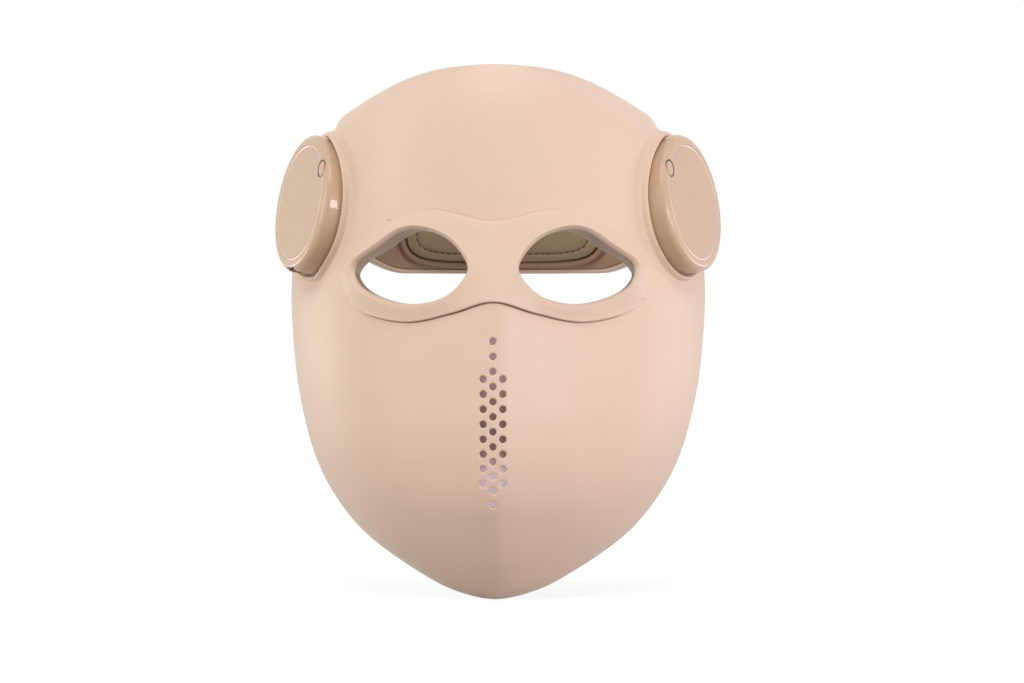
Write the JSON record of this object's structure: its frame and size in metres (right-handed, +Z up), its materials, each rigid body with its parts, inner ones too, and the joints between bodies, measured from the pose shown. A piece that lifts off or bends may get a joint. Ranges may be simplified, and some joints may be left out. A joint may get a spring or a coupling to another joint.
{
  "type": "light therapy face mask",
  "caption": "Rigid full-face light mask with vents, eye openings, round temple pods with buttons, and a tilting, sliding rear band with a stitched head pad.",
  "frame": {"origin": "midway between the two temple pivots, on their common axis, inside the wearer's head", "axes": "+Z up, front of the mask towards -Y, wearer's left side towards +X"},
  "size_m": [0.2018, 0.2217, 0.2313],
  "materials": {
    "painted_shell": "satin champagne paint on moulded ABS",
    "lacquered_pod": "clear-coated champagne lacquer",
    "rose_inlay": "fine inlaid ring",
    "white_moulding": "as moulded",
    "clear_panel": "clear polycarbonate",
    "frosted_liner": "frosted diffuser film",
    "led_board": "white solder mask",
    "pod_board": "green solder mask",
    "battery_wrap": "foil pouch",
    "black_nylon": "as moulded",
    "natural_nylon": "as moulded",
    "soft_silicone": "matt silicone",
    "leatherette": "stitched khaki leatherette over foam",
    "cable_sheath": "flexible sheath",
    "plated_steel": "zinc plated"
  },
  "bodies": {
    "mask": {"battery_cell_left": "battery_wrap", "battery_cell_right": "battery_wrap", "button_switch_left": "black_nylon", "button_switch_right": "black_nylon", "buzzer": "black_nylon", "charge_socket": "plated_steel", "driver_board": "pod_board", "eye_frame": "painted_shell", "eye_shield_left": "soft_silicone", "eye_shield_right": "soft_silicone", "forehead_pad": "soft_silicone", "friction_washer_left": "natural_nylon", "friction_washer_right": "natural_nylon", "front_shell": "painted_shell", "inlay_ring_left": "rose_inlay", "inlay_ring_right": "rose_inlay", "inner_panel": "clear_panel", "led_board_cheek_left": "led_board", "led_board_cheek_right": "led_board", "led_board_chin": "led_board", "led_board_forehead": "led_board", "main_board": "pod_board", "nose_pad": "soft_silicone", "panel_screw_1": "plated_steel", "panel_screw_2": "plated_steel", "panel_screw_3": "plated_steel", "panel_screw_4": "plated_steel", "pivot_pin_left": "plated_steel", "pivot_pin_right": "plated_steel", "pod_cap_left": "lacquered_pod", "pod_cap_right": "lacquered_pod", "pod_housing_left": "white_moulding", "pod_housing_right": "white_moulding", "vent_liner": "frosted_liner", "wire_harness": "cable_sheath"},
    "power_button": {"power_button": "lacquered_pod"},
    "mode_button": {"mode_button": "lacquered_pod"},
    "band_arms": {"arm_left": "painted_shell", "arm_right": "painted_shell"},
    "rear_cradle": {"rear_band_shell": "painted_shell", "rear_band_cover": "painted_shell", "band_screw_1": "plated_steel", "band_screw_2": "plated_steel", "band_screw_3": "plated_steel", "band_screw_4": "plated_steel", "pad_board": "white_moulding", "head_pad": "leatherette", "pad_bezel": "painted_shell"}
  },
  "joints": [
    {"name": "band_tilt", "type": "hinge", "parent": "mask", "child": "band_arms", "pos_m": [0, 0, 0], "axis": [1, 0, 0], "range_deg": [-15, 20]},
    {"name": "band_slide", "type": "slide", "parent": "band_arms", "child": "rear_cradle", "axis": [0, 1, 0], "range_m": [0, 0.018]},
    {"name": "power_press", "type": "slide", "parent": "mask", "child": "power_button", "axis": [0.89, 0.428, -0.157], "range_m": [0, 0.0004], "stiffness_N_per_m": 2500},
    {"name": "mode_press", "type": "slide", "parent": "mask", "child": "mode_button", "axis": [-0.89, 0.428, -0.157], "range_m": [0, 0.0004], "stiffness_N_per_m": 2500}
  ]
}
